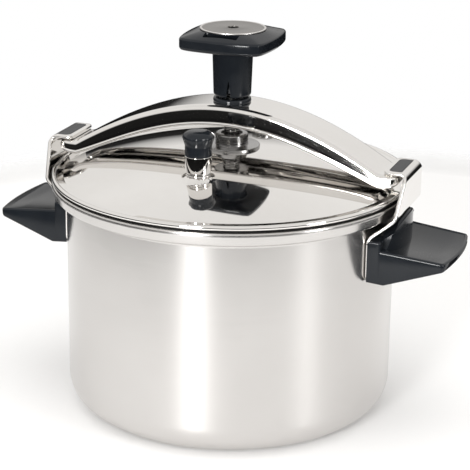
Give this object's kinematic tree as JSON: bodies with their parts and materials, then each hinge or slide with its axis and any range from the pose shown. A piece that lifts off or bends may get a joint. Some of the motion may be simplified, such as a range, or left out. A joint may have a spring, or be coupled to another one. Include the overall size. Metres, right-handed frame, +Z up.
{
  "type": "pressure canner",
  "caption": "Round stainless-steel stove-top pressure canner with an arched clamp bow, a screw knob, a pressure weight and side handles.",
  "frame": {"origin": "centre of the base on the worktop", "axes": "+Z up, +X towards the right handle along the clamp bow, -Y to the front, where the pressure weight is"},
  "size_m": [0.3208, 0.242, 0.2604],
  "materials": {
    "satin_steel": "satin polished, drawn vertically",
    "aluminium": "plain",
    "polished_steel": "mirror polished stainless steel",
    "machined_steel": "turned",
    "disc_steel": "circular brushed",
    "pad_plastic": "matt charcoal",
    "black_plastic": "moulded, glossy",
    "rubber": "matt",
    "brass": "turned"
  },
  "bodies": {
    "pot": {"pot_shell": "satin_steel", "heat_spreader": "aluminium", "base_cap": "satin_steel", "right_hook_strap": "polished_steel", "left_hook_strap": "polished_steel", "right_hook_pad": "pad_plastic", "left_hook_pad": "pad_plastic", "right_side_handle": "black_plastic", "left_side_handle": "black_plastic", "handle_bosses": "machined_steel", "handle_screws": "machined_steel"},
    "lid": {"lid_dome": "polished_steel", "lid_gasket": "rubber", "thrust_cup": "machined_steel", "foot_circlip": "machined_steel", "steam_nozzle": "polished_steel", "nozzle_seal": "rubber", "nozzle_nut": "machined_steel", "safety_valve_body": "machined_steel", "safety_valve_seal": "rubber", "safety_valve_nut": "machined_steel", "safety_valve_spring": "machined_steel"},
    "needle": {"weight_needle": "brass"},
    "weight": {"pressure_weight": "polished_steel", "weight_cap": "black_plastic"},
    "plunger": {"safety_valve_plunger": "brass"},
    "bush": {"bow_bush": "machined_steel"},
    "bow": {"clamp_bow": "polished_steel", "bow_collar": "black_plastic"},
    "knob": {"clamp_screw": "machined_steel", "knob_grip": "black_plastic", "knob_disc": "disc_steel", "knob_bolt": "machined_steel"}
  },
  "joints": [
    {"name": "lid_slide", "type": "slide", "parent": "pot", "child": "lid", "axis": [0, -1, 0], "range_m": [-0.25, 0.25]},
    {"name": "knob_turn", "type": "hinge", "parent": "lid", "child": "knob", "pos_m": [0, 0, 0.2], "axis": [0, 0, 1], "range_deg": [0, 720]},
    {"name": "bow_drop", "type": "slide", "parent": "lid", "child": "bush", "axis": [0, 0, -1], "range_m": [0, 0.004]},
    {"name": "bow_swing", "type": "hinge", "parent": "bush", "child": "bow", "pos_m": [0, 0, 0.2], "axis": [0, 0, 1], "range_deg": [-50, 50]},
    {"name": "weight_lift", "type": "slide", "parent": "lid", "child": "needle", "axis": [0, 0, 1], "range_m": [0, 0.03]},
    {"name": "weight_spin", "type": "hinge", "parent": "needle", "child": "weight", "pos_m": [0, -0.062, 0.19], "axis": [0, 0, 1], "continuous": true},
    {"name": "valve_pop", "type": "slide", "parent": "lid", "child": "plunger", "axis": [0, 0, 1], "range_m": [0, 0.0025], "stiffness_N_per_m": 2000, "springref_m": -0.002, "deforming": ["safety_valve_spring"]}
  ],
  "couplings": [
    {"joint": "bow_drop", "follows": "knob_turn", "m_per_rad": 0.0003183}
  ]
}
